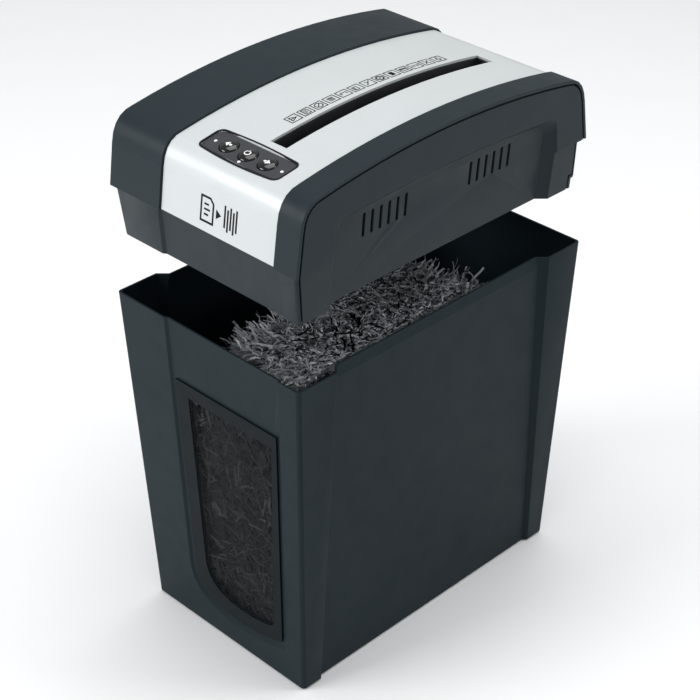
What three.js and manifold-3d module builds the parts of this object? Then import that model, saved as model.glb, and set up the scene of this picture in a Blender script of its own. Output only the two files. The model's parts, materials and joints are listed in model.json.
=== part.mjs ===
// A slim desk-side paper shredder: an open tapered bin and the cutting head held above it.
// Millimetres. X across the narrow width, Y front (-) to rear (+), Z up, floor at Z = 0.
import * as THREE from "three";
import { mergeVertices } from "three/addons/utils/BufferGeometryUtils.js";
import Module from "manifold-3d";

const wasm = await Module();
wasm.setup();

// ---- driving dimensions -------------------------------------------------------------------

const GAP = 0.3; // air between fixed neighbours
const BIN = {
  foot: 1.2, // height of the rubber pads
  base: 1.5, // underside of the tub
  rim: 302.5, // top of the tub
  band: 293, // lower edge of the sloped rim band
  halfX: [90.7, 103.8], // half width at the floor and at the rim
  halfY: [149, 160], // half depth at the floor and at the rim
  recessX: [87.4, 97.2], // side recess plane at the floor and at the band
  recessRimX: 96,
  recessY: [129.5, 120.5], // where the corner columns end, at the floor and at the rim
  wall: 1.8,
  floor: 2.4,
  corner: 3,
};
const FRONT_RECESS = 1.8; // depth of the shallow step around the window
const FRONT_SLANT = 2.8; // how far the step's sloping edge spreads on its way out
const WINDOW = { top: 248.5, left: -40.5, right: 75.7, thick: 1.3, slack: 3.8 };

const HEAD_REST_Z = 396.3; // ledge of the head, lifted clear of the bin
const HEAD = {
  halfX: 103.2,
  halfY: 159.2,
  faceTopY: 154.3, // where the end faces turn into the corner
  faceTopH: 34,
  cornerY: 132, // where the corner meets the top arch
  apex: 69.5,
  archRadius: 760,
  skin: 3,
  wall: 2.6,
  ledge: 2.4,
  bottom: -42.6,
};
const SKIRT_TOP = { x0: -98.5, x1: 101.8, y0: -158, y1: 151.8 };
const SKIRT_BOTTOM = { x0: -97.6, x1: 97.6, y0: -152.5, y1: 154 };
const REAR_STEP = { y: 148.6, h: -33.5 }; // the skirt's narrower foot at the back
const FRONT_STEP = { depth: 1.9, left: [-45.3, -49.5], right: [80.5, 79] }; // at the ledge and at the foot
const SIDE_RECESS = { x: 93.8, slope: 0.0875, y: 113.8, shoulder: 12, arch: 25.5, rise: 4.5, drop: -60 };
const SEAM = { hood: 2.7, plate: 4.2, flange: 3.3, flangeInner: 9 };

const FASCIA = { x0: -45.2, x1: 79, sunk: 2, thick: 2.4, rearH: 20 };
const SLOT = { x: 28, width: 17, y0: -104, y1: 119.5 };
const BEZEL = { x: 19.2, y: -125.6, halfX: 41.6, halfY: 12.2, corner: 5, bow: 1.6, sunk: 2.7, thick: 4 };
const CONTROL_TILT = 0.165; // slope of the arch at the controls, radians
const BUTTON = { radius: 7.5, pitch: 20.5, depth: 5, rise: 1.9, y: -126, travel: 1.2 };
const VENT = { width: 2.6, h0: 2.7, h1: 22.4, pitch: 8.76, count: 6, starts: [-84.2, 29.8] };

const CUTTER = { h: -8, spacing: 32, radius: 19, core: 12, shaft: 6, pitch: 16, disc: 7.2, y0: -100.5 };
const PLATE = { front: -112, rear: 123, thick: 2.5, x0: -86, x1: 80, h0: -37.3, h1: 44 };
const PAN = { h0: -40, h1: -37.6 };
const GEAR_Y = { shafts: [127, 132], second: [133, 138.6], first: [139.5, 143.5] };
const TEETH = { shaft: 16, wheel: 26, pinion: 12, firstWheel: 38, firstPinion: 10 };
const MODULE_SHAFT = 2;
const MODULE_FIRST = 1.5;
const PLUNGER = { x: -84.5, y: 153.7, radius: 1.5, h0: -3, h1: 5, travel: 2.5 };
const INLET = { x0: -73, x1: -48, h0: 9, h1: 27, y0: 144.5, y1: 158 };
const OUTLET = { x0: 0, x1: 56, y0: -105, y1: 119 };
const LEVER = { x: 44.5, h: 27, y0: 5.5, y1: 10.5 };
const MOTOR = { radius: 26, y0: 18, y1: 122.4, shaft: 2.5 };

const shaftA = { x: SLOT.x - CUTTER.spacing / 2, h: CUTTER.h };
const shaftB = { x: SLOT.x + CUTTER.spacing / 2, h: CUTTER.h };
const stageOffset = 34; // sideways step from one gear centre to the next
const reach = (a, b, module) => ((a + b) * module) / 2;
const climb = (distance) => Math.sqrt(distance ** 2 - stageOffset ** 2);
const idler = {
  x: shaftA.x - stageOffset,
  h: shaftA.h + climb(reach(TEETH.wheel, TEETH.pinion, MODULE_SHAFT)),
};
const motor = {
  x: idler.x - stageOffset,
  h: idler.h - climb(reach(TEETH.firstWheel, TEETH.firstPinion, MODULE_FIRST)),
};

// ---- solids -------------------------------------------------------------------------------

const lerp = THREE.MathUtils.lerp;

// A closed geometry as a solid that can be joined and cut.
function toSolid(geometry) {
  const bare = geometry.index ? geometry.toNonIndexed() : geometry.clone();
  bare.deleteAttribute("normal");
  bare.deleteAttribute("uv");
  const merged = mergeVertices(bare, 1e-4);
  return new wasm.Manifold(
    new wasm.Mesh({
      numProp: 3,
      vertProperties: merged.attributes.position.array,
      triVerts: new Uint32Array(merged.index.array),
    }),
  );
}

function toGeometry(solid) {
  const mesh = solid.getMesh();
  const geometry = new THREE.BufferGeometry();
  geometry.setAttribute("position", new THREE.BufferAttribute(mesh.vertProperties, 3));
  geometry.setIndex(new THREE.BufferAttribute(mesh.triVerts, 1));
  geometry.computeVertexNormals();
  return geometry;
}

const joinAll = (solids) => solids.reduce((sum, next) => sum.add(next));
const cutAll = (solid, cutters) => cutters.reduce((rest, next) => rest.subtract(next), solid);

function box(x0, x1, y0, y1, z0, z1) {
  const geometry = new THREE.BoxGeometry(x1 - x0, y1 - y0, z1 - z0);
  geometry.translate((x0 + x1) / 2, (y0 + y1) / 2, (z0 + z1) / 2);
  return toSolid(geometry);
}

function extrude(outline, length, basis) {
  const isShape = outline instanceof THREE.Shape;
  const shape = isShape ? outline : new THREE.Shape(outline.map(([u, v]) => new THREE.Vector2(u, v)));
  const geometry = new THREE.ExtrudeGeometry(shape, { depth: length, bevelEnabled: false, curveSegments: 6 });
  geometry.applyMatrix4(basis);
  return toSolid(geometry);
}

const X = new THREE.Vector3(1, 0, 0);
const Y = new THREE.Vector3(0, 1, 0);
const Z = new THREE.Vector3(0, 0, 1);
const alongX = (x) => new THREE.Matrix4().makeBasis(Y, Z, X).setPosition(x, 0, 0);
const alongY = (y) => new THREE.Matrix4().makeBasis(Z, X, Y).setPosition(0, y, 0);
const alongZ = (z) => new THREE.Matrix4().setPosition(0, 0, z);

// Outlines given as [y, z], [x, z] or [x, y].
const extrudeX = (outline, x0, x1) => extrude(outline, x1 - x0, alongX(x0));
const extrudeY = (outline, y0, y1) => extrude(outline.map(([x, z]) => [z, x]), y1 - y0, alongY(y0));
const extrudeZ = (outline, z0, z1) => extrude(outline, z1 - z0, alongZ(z0));

// A turned solid on an axis along Y through (x, z), from [radius, y] points listed with y rising.
function turnedY(profile, x, z, segments) {
  const geometry = new THREE.LatheGeometry(profile.map(([r, y]) => new THREE.Vector2(r, y)), segments);
  geometry.translate(x, 0, z);
  return toSolid(geometry);
}

const rodY = (radius, y0, y1, x, z, segments = 16) =>
  turnedY([[0, y0], [radius, y0], [radius, y1], [0, y1]], x, z, segments);
const ringY = (inner, outer, y0, y1, x, z, segments = 16) =>
  turnedY([[inner, y0], [outer, y0], [outer, y1], [inner, y1], [inner, y0]], x, z, segments);

// A turned solid on a vertical axis through (x, y), from [radius, z] points listed from the bottom up.
function turnedZ(profile, x, y, segments) {
  const geometry = new THREE.LatheGeometry(profile.map(([r, z]) => new THREE.Vector2(r, z)), segments);
  geometry.rotateX(Math.PI / 2);
  geometry.translate(x, y, 0);
  return toSolid(geometry);
}

// A solid between sections with the same number of points, each a list of Vector3, counter-clockwise
// when the stack is seen from its last section. flat maps a point to the plane of the end caps.
function loft(sections, flat = (p) => new THREE.Vector2(p.x, p.y)) {
  const count = sections[0].length;
  const points = sections.flat();
  const faces = [];
  for (let s = 0; s + 1 < sections.length; s++) {
    for (let i = 0; i < count; i++) {
      const a = s * count + i;
      const b = s * count + ((i + 1) % count);
      faces.push([a, b, b + count], [a, b + count, a + count]);
    }
  }
  const last = (sections.length - 1) * count;
  for (const [a, b, c] of THREE.ShapeUtils.triangulateShape(sections[0].map(flat), [])) {
    faces.push([a, c, b]);
  }
  for (const [a, b, c] of THREE.ShapeUtils.triangulateShape(sections.at(-1).map(flat), [])) {
    faces.push([last + a, last + b, last + c]);
  }
  const geometry = new THREE.BufferGeometry().setFromPoints(points);
  geometry.setIndex(faces.flat());
  return toSolid(geometry);
}

// A rectangle with rounded corners, counter-clockwise.
function roundedRect(x0, x1, y0, y1, radius, steps = 2) {
  const centres = [
    [x1 - radius, y0 + radius, -0.5],
    [x1 - radius, y1 - radius, 0],
    [x0 + radius, y1 - radius, 0.5],
    [x0 + radius, y0 + radius, 1],
  ];
  return centres.flatMap(([cx, cy, turn]) =>
    Array.from({ length: steps + 1 }, (_, i) => {
      const angle = Math.PI * (turn + (0.5 * i) / steps);
      return [cx + radius * Math.cos(angle), cy + radius * Math.sin(angle)];
    }),
  );
}

const atHeight = (outline, z) => outline.map(([x, y]) => new THREE.Vector3(x, y, z));

// The same solid on the other side of the plane X = 0, its faces turned round to face out again.
function mirrorX(solid) {
  const geometry = toGeometry(solid).scale(-1, 1, 1);
  const order = geometry.index.array;
  for (let i = 0; i < order.length; i += 3) {
    [order[i + 1], order[i + 2]] = [order[i + 2], order[i + 1]];
  }
  return toSolid(geometry);
}

// ---- parts list ---------------------------------------------------------------------------

const group = new THREE.Group();
const head = new THREE.Group();
head.position.z = HEAD_REST_Z;
group.add(head);

const LOOKS = {
  bin: { color: 0x2b3034, roughness: 0.45, metalness: 0 },
  housing: { color: 0x30353a, roughness: 0.42, metalness: 0 },
  silver: { color: 0xd4d8d9, roughness: 0.35, metalness: 0.25 },
  smoke: { color: 0x3a4044, roughness: 0.15, metalness: 0 },
  bezel: { color: 0x5b5e62, roughness: 0.55, metalness: 0 },
  button: { color: 0x0d0e10, roughness: 0.2, metalness: 0 },
  lens: { color: 0xdfe8f2, roughness: 0.2, metalness: 0 },
  inner: { color: 0x16181a, roughness: 0.6, metalness: 0 },
  rubber: { color: 0x101010, roughness: 0.9, metalness: 0 },
  steel: { color: 0x9a9d9f, roughness: 0.35, metalness: 0.9 },
  zinc: { color: 0xb4b6b4, roughness: 0.45, metalness: 0.8 },
  brass: { color: 0xb08d4a, roughness: 0.4, metalness: 0.9 },
  nylon: { color: 0xdcd9cc, roughness: 0.5, metalness: 0 },
  board: { color: 0x1f5a3a, roughness: 0.5, metalness: 0 },
};

function addTo(parent, name, solid, look) {
  const mesh = new THREE.Mesh(toGeometry(solid), new THREE.MeshStandardMaterial(LOOKS[look]));
  mesh.name = name;
  parent.add(mesh);
}

const addToBin = (name, solid, look) => addTo(group, name, solid, look);
const addToHead = (name, solid, look) => addTo(head, name, solid, look);

// ---- bin ----------------------------------------------------------------------------------

// The bin's outline at one height: four corner columns with a recess between them on each side.
function binOutline(z, recessX, inset = 0) {
  const share = z / BIN.rim;
  const hx = lerp(...BIN.halfX, share) - inset;
  const hy = lerp(...BIN.halfY, share) - inset;
  const rx = recessX - inset;
  const bend = inset * (Math.SQRT2 - 1);
  const outer = lerp(...BIN.recessY, share) + bend;
  const inner = outer - (hx - rx);
  const corners = roundedRect(-hx, hx, -hy, hy, BIN.corner);
  const half = corners.length / 2;
  const side = (s) => [[s * hx, -s * outer], [s * rx, -s * inner], [s * rx, s * inner], [s * hx, s * outer]];
  return [
    ...corners.slice(0, half / 2),
    ...side(1),
    ...corners.slice(half / 2, half + half / 2),
    ...side(-1),
    ...corners.slice(half + half / 2),
  ];
}

function binLoft(z0, inset) {
  const recess = (z) => lerp(...BIN.recessX, z / BIN.band);
  const levels = [
    [z0, recess(z0)],
    [BIN.band, BIN.recessX[1]],
    [BIN.rim, BIN.recessRimX],
  ];
  if (inset > 0) {
    const above = 1;
    const slope = (BIN.recessRimX - BIN.recessX[1]) / (BIN.rim - BIN.band);
    levels[2] = [BIN.rim + above, BIN.recessRimX + above * slope];
  }
  return loft(levels.map(([z, rx]) => atHeight(binOutline(z, rx, inset), z)));
}

// The plane of the tub's front face: u across, v up the face, w out of it.
const faceLean = Math.atan2(BIN.halfY[1] - BIN.halfY[0], BIN.rim);
const frontFace = new THREE.Matrix4()
  .makeBasis(
    X,
    new THREE.Vector3(0, -Math.sin(faceLean), Math.cos(faceLean)),
    new THREE.Vector3(0, -Math.cos(faceLean), -Math.sin(faceLean)),
  )
  .setPosition(0, -BIN.halfY[0], 0);

const onFrontFace = (shape, w0, w1) =>
  extrude(shape, w1 - w0, frontFace.clone().multiply(new THREE.Matrix4().setPosition(0, 0, w0)));

// The shallow step around the window, from its floor out through the front face, grown by a margin.
function frontStep(grow, floorW) {
  const outside = 3;
  const section = (w) => {
    const spread = ((w - floorW) * FRONT_SLANT) / FRONT_RECESS;
    const outline = windowShape(WINDOW.slack + grow + spread, BIN.rim + 10).getPoints(4);
    return outline.map((p) => new THREE.Vector3(p.x, p.y, w).applyMatrix4(frontFace));
  };
  return loft([section(floorW), section(outside)], (p) => new THREE.Vector2(p.x, p.z));
}

// The window's outline, straight at the top and sides and bellied below, grown by a margin.
function windowShape(grow, top) {
  const { left, right } = WINDOW;
  const lowLeft = left + 3.5;
  const lowRight = right - 8;
  const shape = new THREE.Shape();
  shape.moveTo(right + grow, top);
  shape.lineTo(left - grow, top);
  shape.lineTo(lowLeft - grow, 58);
  shape.quadraticCurveTo(lowLeft + 1 - grow, 34 - grow, 4, 28.5 - grow);
  shape.quadraticCurveTo(38, 27 - grow, lowRight - 2, 38 - grow);
  shape.quadraticCurveTo(lowRight + grow, 39 - grow, lowRight + grow, 46);
  return shape;
}

function windowHole() {
  const shape = new THREE.Shape();
  shape.moveTo(69.5, 236);
  shape.lineTo(-26, 236);
  shape.lineTo(-22.5, 74);
  shape.quadraticCurveTo(-21, 49, 8, 44.5);
  shape.quadraticCurveTo(40, 42, 56, 50);
  shape.quadraticCurveTo(58.5, 52, 58.5, 58);
  return shape;
}

function makeBin() {
  const outer = binLoft(BIN.base, 0).subtract(frontStep(0, -FRONT_RECESS));
  const wallBehindStep = frontStep(BIN.wall / 3, -FRONT_RECESS - BIN.wall);
  const hollow = binLoft(BIN.base + BIN.floor, BIN.wall).subtract(wallBehindStep);
  const strikerOutline = roundedRect(PLUNGER.x - 7, PLUNGER.x + 7, 153.9, 158.6, 1);
  const striker = extrudeZ(strikerOutline, 284, BIN.rim - 3.3);
  const shaped = outer.subtract(hollow).add(striker.intersect(outer));
  addToBin("bin_tub", shaped.subtract(onFrontFace(windowHole(), -20, 20)), "bin");

  const paneBack = -FRONT_RECESS + GAP;
  const pane = onFrontFace(windowShape(0, WINDOW.top), paneBack, paneBack + WINDOW.thick);
  addToBin("window_pane", pane, "smoke");

  const padX = 76;
  const padY = 132;
  const corners = { front_left: [-1, -1], front_right: [1, -1], rear_left: [-1, 1], rear_right: [1, 1] };
  for (const [name, [sx, sy]] of Object.entries(corners)) {
    const pad = turnedZ([[0, 0], [8, 0], [7.4, BIN.foot], [0, BIN.foot]], sx * padX, sy * padY, 16);
    addToBin("foot_" + name, pad, "rubber");
  }
}

// ---- head housing -------------------------------------------------------------------------

// The head's side view as [y, h], from the foot of the rear face over the arch to the front face.
function archLine(inset) {
  const top = (y) => HEAD.apex - y ** 2 / (2 * HEAD.archRadius);
  const arcSteps = 14;
  const cornerSteps = 5;
  const corner = new THREE.QuadraticBezierCurve(
    new THREE.Vector2(HEAD.faceTopY, HEAD.faceTopH),
    new THREE.Vector2(HEAD.faceTopY - 2.8, top(HEAD.cornerY) - 1.5),
    new THREE.Vector2(HEAD.cornerY, top(HEAD.cornerY)),
  ).getPoints(cornerSteps);
  const rear = [[HEAD.halfY, 0], ...corner.map((p) => [p.x, p.y])];
  const arc = Array.from({ length: arcSteps - 1 }, (_, i) => {
    const y = lerp(HEAD.cornerY, -HEAD.cornerY, (i + 1) / arcSteps);
    return [y, top(y)];
  });
  const line = [...rear, ...arc, ...rear.map(([y, h]) => [-y, h]).reverse()];
  return line.map(([y, h], i) => {
    const [y0, h0] = line[Math.max(i - 1, 0)];
    const [y1, h1] = line[Math.min(i + 1, line.length - 1)];
    const length = Math.hypot(y1 - y0, h1 - h0);
    return [y - (inset * (h1 - h0)) / length, h + (inset * (y1 - y0)) / length];
  });
}

// The arch closed along a level line, and the band between two of its insets.
function underArch(inset, floorH, x0, x1) {
  const line = archLine(inset);
  const [rearY] = line[0];
  return extrudeX([[-rearY, floorH], [rearY, floorH], ...line.filter(([, h]) => h > floorH + 0.5)], x0, x1);
}

function archBand(outer, inner, frontH, rearH, x0, x1) {
  const below = -20;
  const band = underArch(outer, below, x0, x1).subtract(underArch(inner, below - 1, x0 - 1, x1 + 1));
  return cutAll(band, [
    box(x0 - 1, x1 + 1, -200, 0, below - 5, frontH),
    box(x0 - 1, x1 + 1, 0, 200, below - 5, rearH),
  ]);
}

// The skirt below the ledge, carried a little way up so that it joins what is above.
function skirt(inset, h0, h1) {
  const section = (h) => {
    const share = h / HEAD.bottom;
    const at = (key) => lerp(SKIRT_TOP[key], SKIRT_BOTTOM[key], share);
    const outline = roundedRect(at("x0") + inset, at("x1") - inset, at("y0") + inset, at("y1") - inset, 3);
    return atHeight(outline, h);
  };
  return loft([section(h0), section(h1)]);
}

// The recess in the head's right side, with 45 degree edges, grown by a wall thickness.
function sideRecess(grow) {
  const depth = 14;
  const outline = (spread) => {
    const y = SIDE_RECESS.y + spread;
    const top = SIDE_RECESS.arch + spread;
    const archSteps = 8;
    const shoulder = new THREE.QuadraticBezierCurve(
      new THREE.Vector2(y, top - SIDE_RECESS.shoulder),
      new THREE.Vector2(y, top),
      new THREE.Vector2(y - SIDE_RECESS.shoulder, top),
    ).getPoints(4);
    const start = y - SIDE_RECESS.shoulder;
    const arch = Array.from({ length: archSteps - 1 }, (_, i) => {
      const at = 1 - (2 * (i + 1)) / archSteps;
      return [at * start, top + SIDE_RECESS.rise * (1 - at ** 2)];
    });
    const right = [[y, SIDE_RECESS.drop], ...shoulder.map((p) => [p.x, p.y])];
    return [...right, ...arch, ...right.map(([a, b]) => [-a, b]).reverse()];
  };
  const place = (spread, out) =>
    outline(spread).map(([y, h]) => new THREE.Vector3(SIDE_RECESS.x + SIDE_RECESS.slope * h + out, y, h));
  return loft([place(grow, -grow), place(grow + depth, depth - grow)], (p) => new THREE.Vector2(p.y, p.z));
}

const skirtEdge = (key, h) => lerp(SKIRT_TOP[key], SKIRT_BOTTOM[key], h / HEAD.bottom);

// The step across the middle of the skirt's front, below the silver panel, grown by a wall thickness.
function skirtStep(grow) {
  const outside = 2;
  const section = (h) => {
    const share = h / HEAD.bottom;
    const face = skirtEdge("y0", h);
    const floor = face + FRONT_STEP.depth + grow;
    const left = lerp(...FRONT_STEP.left, share) - grow / 3;
    const right = lerp(...FRONT_STEP.right, share) + grow / 3;
    const spread = ((floor - face + outside) * FRONT_SLANT) / FRONT_RECESS;
    const outline = [
      [left - spread, face - outside],
      [right + spread, face - outside],
      [right, floor],
      [left, floor],
    ];
    return atHeight(outline, h);
  };
  return loft([section(HEAD.bottom - 3), section(grow > 0 ? HEAD.ledge : 0)]);
}

// Everything behind and under the skirt's narrower foot at the back.
const rearStep = (grow) =>
  box(-200, 200, REAR_STEP.y - grow, 200, HEAD.bottom - 5, REAR_STEP.h + grow);

// The part of the right side that belongs to the side panel, inside a seam around its edge.
function sideZone(inset) {
  const far = 16;
  const upper = archLine(inset);
  const front = (h) => skirtEdge("y0", h) + inset;
  const rear = (h) => skirtEdge("y1", h) - inset;
  const low = HEAD.bottom - 5;
  const stepH = REAR_STEP.h + inset;
  const footY = REAR_STEP.y - inset;
  const top = [[rear(0), 0], [upper[0][0], 0], ...upper.slice(1, -1), [upper.at(-1)[0], 0]];
  const below = [[front(0), 0], [front(low), low], [footY, low], [footY, stepH], [rear(stepH), stepH]];
  return extrudeX([...top, ...below], HEAD.halfX - far, HEAD.halfX + far);
}

// All that the housing is cut back by, grown by a wall thickness.
const recesses = (grow) => [sideRecess(grow), mirrorX(sideRecess(grow)), skirtStep(grow), rearStep(grow)];

function makeHousing() {
  const { skin, wall, halfX, ledge, bottom } = HEAD;
  const outer = cutAll(underArch(0, 0, -halfX, halfX).add(skirt(0, bottom, 1)), recesses(0));
  const inner = cutAll(
    underArch(skin, ledge, -halfX + wall, halfX - wall).add(skirt(wall, bottom - 2, ledge + 1)),
    recesses(wall),
  );
  const shell = outer.subtract(inner);

  const flangeX = halfX - wall;
  const flange = underArch(SEAM.flange, ledge, flangeX - 2.2, flangeX + 0.2)
    .subtract(underArch(SEAM.flangeInner, -10, flangeX - 4, flangeX + 2))
    .subtract(sideRecess(0));
  const overlap = 0.2;
  const stripWidth = 6;
  const lining = skirt(wall - overlap, PAN.h1 + GAP, 0).subtract(skirt(wall + 2, PAN.h1 - 1, 1));
  const nearSeam = sideZone(skin + GAP).subtract(sideZone(skin + GAP + stripWidth));
  const strips = lining.intersect(nearSeam);
  const vents = VENT.starts.flatMap((start) =>
    Array.from({ length: VENT.count }, (_, i) => {
      const y = start + i * VENT.pitch;
      return box(halfX - 20, halfX + 5, y - VENT.width / 2, y + VENT.width / 2, VENT.h0, VENT.h1);
    }),
  );
  const sidePanel = (half) => cutAll(joinAll([half.intersect(sideZone(SEAM.plate)), flange, strips]), vents);
  addToHead("side_panel_right", sidePanel(shell), "housing");
  addToHead("side_panel_left", mirrorX(sidePanel(mirrorX(shell))), "housing");

  const hoodZone = sideZone(SEAM.hood);
  const opening = archBand(-4, skin + 1.5, 0, FASCIA.rearH, FASCIA.x0 - GAP, FASCIA.x1 + GAP);
  const plungerHole = turnedZ([[0, -6], [1.8, -6], [1.8, 6], [0, 6]], PLUNGER.x, PLUNGER.y, 16);
  const inletHole = box(INLET.x0 - GAP, INLET.x1 + GAP, 140, 165, INLET.h0 - GAP, INLET.h1 + GAP);
  const hood = cutAll(shell, [hoodZone, mirrorX(hoodZone), opening, plungerHole, inletHole]);
  addToHead("hood_frame", hood, "housing");
}

// ---- fascia and controls ------------------------------------------------------------------

function bezelOutline(grow) {
  const { x, y, halfX, halfY, corner, bow } = BEZEL;
  return roundedRect(x - halfX - grow, x + halfX + grow, y - halfY - grow, y + halfY + grow, corner, 4).map(
    ([px, py]) => [px - Math.sign(px - x) * bow * ((py - y) / halfY) ** 2, py],
  );
}

const buttonX = (i) => BEZEL.x + 0.2 + (i - 1) * BUTTON.pitch;
const panelH = (y, sunk) => HEAD.apex - y ** 2 / (2 * HEAD.archRadius) - sunk;

// Moves a solid turned about the vertical to a place on the sloping controls.
function onControls(profile, x, y, segments) {
  const geometry = new THREE.LatheGeometry(profile.map(([r, h]) => new THREE.Vector2(r, h)), segments);
  geometry.rotateX(Math.PI / 2 + CONTROL_TILT);
  geometry.translate(x, y, panelH(y, BEZEL.sunk));
  return toSolid(geometry);
}

function makeFascia() {
  const { x0, x1, sunk, thick, rearH } = FASCIA;
  const slotHalf = SLOT.width / 2;
  const slotHole = box(SLOT.x - slotHalf, SLOT.x + slotHalf, SLOT.y0, SLOT.y1, 30, 90);
  const band = archBand(sunk, sunk + thick, GAP, rearH + GAP, x0, x1);
  const panel = cutAll(band, [slotHole, extrudeZ(bezelOutline(GAP), 20, 90)]);
  addToHead("fascia_panel", panel, "silver");

  const bezelBand = archBand(BEZEL.sunk, BEZEL.sunk + BEZEL.thick, 10, 10, x0, x1);
  const hole = [[0, -9], [BUTTON.radius + 0.4, -9], [BUTTON.radius + 0.4, 6], [0, 6]];
  const holes = [0, 1, 2].map((i) => onControls(hole, buttonX(i), BUTTON.y, 20));
  const lensSpots = { led_overheat: [-15.6, -126], led_power: [19.4, -135], led_bin_full: [55, -126] };
  const lensHole = [[0, -9], [1.8, -9], [1.8, 6], [0, 6]];
  const lensHoles = Object.values(lensSpots).map(([x, y]) => onControls(lensHole, x, y, 10));
  const bezel = cutAll(bezelBand.intersect(extrudeZ(bezelOutline(0), 20, 90)), [...holes, ...lensHoles]);
  addToHead("control_bezel", bezel, "bezel");

  for (const [name, [x, y]] of Object.entries(lensSpots)) {
    const lens = [[0, -5], [1.5, -5], [1.5, -0.4], [1.1, 0], [0, 0.1]];
    addToHead(name, onControls(lens, x, y, 10), "lens");
  }
  ["button_reverse", "button_power", "button_forward"].forEach((name, i) => {
    const { radius, depth, rise } = BUTTON;
    const dome = [[radius, -0.6], [radius * 0.85, rise * 0.3], [radius * 0.5, rise * 0.8], [0, rise]];
    addToHead(name, onControls([[0, -depth], [radius, -depth], ...dome], buttonX(i), BUTTON.y, 18), "button");
  });
}

// ---- cutting gear -------------------------------------------------------------------------

// One cutter: a shaft with discs along it, turned in one piece.
function cutter(shaft, discs, firstY, endY) {
  const startY = PLATE.front - 1.5;
  const { core, radius, pitch, disc } = CUTTER;
  const coreY = PLATE.front + 8;
  const profile = [[0, startY], [CUTTER.shaft, startY], [CUTTER.shaft, coreY], [core, coreY]];
  for (let i = 0; i < discs; i++) {
    const y = firstY + i * pitch;
    profile.push([core, y], [radius, y], [radius, y + disc], [core, y + disc]);
  }
  const stackEnd = PLATE.rear - 3;
  profile.push([core, stackEnd], [CUTTER.shaft, stackEnd], [CUTTER.shaft, endY], [0, endY]);
  return turnedY(profile, shaft.x, shaft.h, 12);
}

// A spur gear's outline around a centre, with one tooth pointing at the given angle.
function gearOutline(centre, teeth, module, angle) {
  const pitchRadius = (teeth * module) / 2;
  const tip = pitchRadius + 0.85 * module;
  const root = pitchRadius - 1.15 * module;
  const step = (2 * Math.PI) / teeth;
  const corners = [[root, -0.31], [tip, -0.11], [tip, 0.11], [root, 0.31]];
  return Array.from({ length: teeth }, (_, i) =>
    corners.map(([r, share]) => {
      const a = angle + (i + share) * step;
      return [centre.x + r * Math.cos(a), centre.h + r * Math.sin(a)];
    }),
  ).flat();
}

function gear(centre, teeth, module, angle, [y0, y1], bore) {
  const blank = extrudeY(gearOutline(centre, teeth, module, angle), y0, y1);
  return blank.subtract(rodY(bore, y0 - 1, y1 + 1, centre.x, centre.h));
}

const bearing = (from, to) => Math.atan2(to.h - from.h, to.x - from.x);

// Two gears in mesh: a tooth of the first sits in a gap of the second.
function gearPair(names, looks, centres, teeth, module, span, bores) {
  const angle = bearing(centres[0], centres[1]);
  const gapAngle = angle + Math.PI + Math.PI / teeth[1];
  addToHead(names[0], gear(centres[0], teeth[0], module, angle, span, bores[0]), looks[0]);
  addToHead(names[1], gear(centres[1], teeth[1], module, gapAngle, span, bores[1]), looks[1]);
}

function makeCutters() {
  const boreSlack = 0.35;
  addToHead("cutter_a", cutter(shaftA, 14, CUTTER.y0, GEAR_Y.second[1] + 0.6), "steel");
  addToHead("cutter_b", cutter(shaftB, 13, CUTTER.y0 + CUTTER.pitch / 2, GEAR_Y.shafts[1] + 0.6), "steel");
  const shaftBore = CUTTER.shaft + boreSlack;
  gearPair(
    ["gear_cutter_a", "gear_cutter_b"], ["steel", "steel"], [shaftA, shaftB],
    [TEETH.shaft, TEETH.shaft], MODULE_SHAFT, GEAR_Y.shafts, [shaftBore, shaftBore],
  );
  gearPair(
    ["drive_wheel", "reduction_pinion"], ["nylon", "steel"], [shaftA, idler],
    [TEETH.wheel, TEETH.pinion], MODULE_SHAFT, GEAR_Y.second, [shaftBore, 4 + boreSlack],
  );
  gearPair(
    ["reduction_wheel", "motor_pinion"], ["nylon", "brass"], [idler, motor],
    [TEETH.firstWheel, TEETH.firstPinion], MODULE_FIRST, GEAR_Y.first,
    [4 + boreSlack, MOTOR.shaft + boreSlack],
  );
  const axle = rodY(4, PLATE.rear + PLATE.thick + GAP, GEAR_Y.first[1] + 1, idler.x, idler.h);
  addToHead("reduction_axle", axle, "steel");

  for (const [name, shaft] of [["a", shaftA], ["b", shaftB]]) {
    for (const [end, y] of [["front", PLATE.front], ["rear", PLATE.rear]]) {
      const bush = ringY(CUTTER.shaft + boreSlack, 9, y - 0.2, y + PLATE.thick + 0.2, shaft.x, shaft.h);
      addToHead(`bushing_${name}_${end}`, bush, "brass");
    }
  }

  const plateOutline = roundedRect(PLATE.x0, PLATE.x1, PLATE.h0, PLATE.h1, 8);
  for (const [end, y] of [["front", PLATE.front], ["rear", PLATE.rear]]) {
    const through = (radius, centre) => rodY(radius, y - 1, y + PLATE.thick + 1, centre.x, centre.h);
    const holes = [through(9 + GAP, shaftA), through(9 + GAP, shaftB), through(9, motor)];
    addToHead(`end_plate_${end}`, cutAll(extrudeY(plateOutline, y, y + PLATE.thick), holes), "zinc");
  }
  const rods = {
    upper_left: [2, 32],
    lower_left: [-18, -29],
    upper_right: [74, 14],
    lower_right: [74, -30],
  };
  for (const [name, [x, h]] of Object.entries(rods)) {
    const rod = rodY(4, PLATE.front + PLATE.thick + GAP, PLATE.rear - GAP, x, h, 12);
    addToHead("tie_rod_" + name, rod, "zinc");
  }
}

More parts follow.
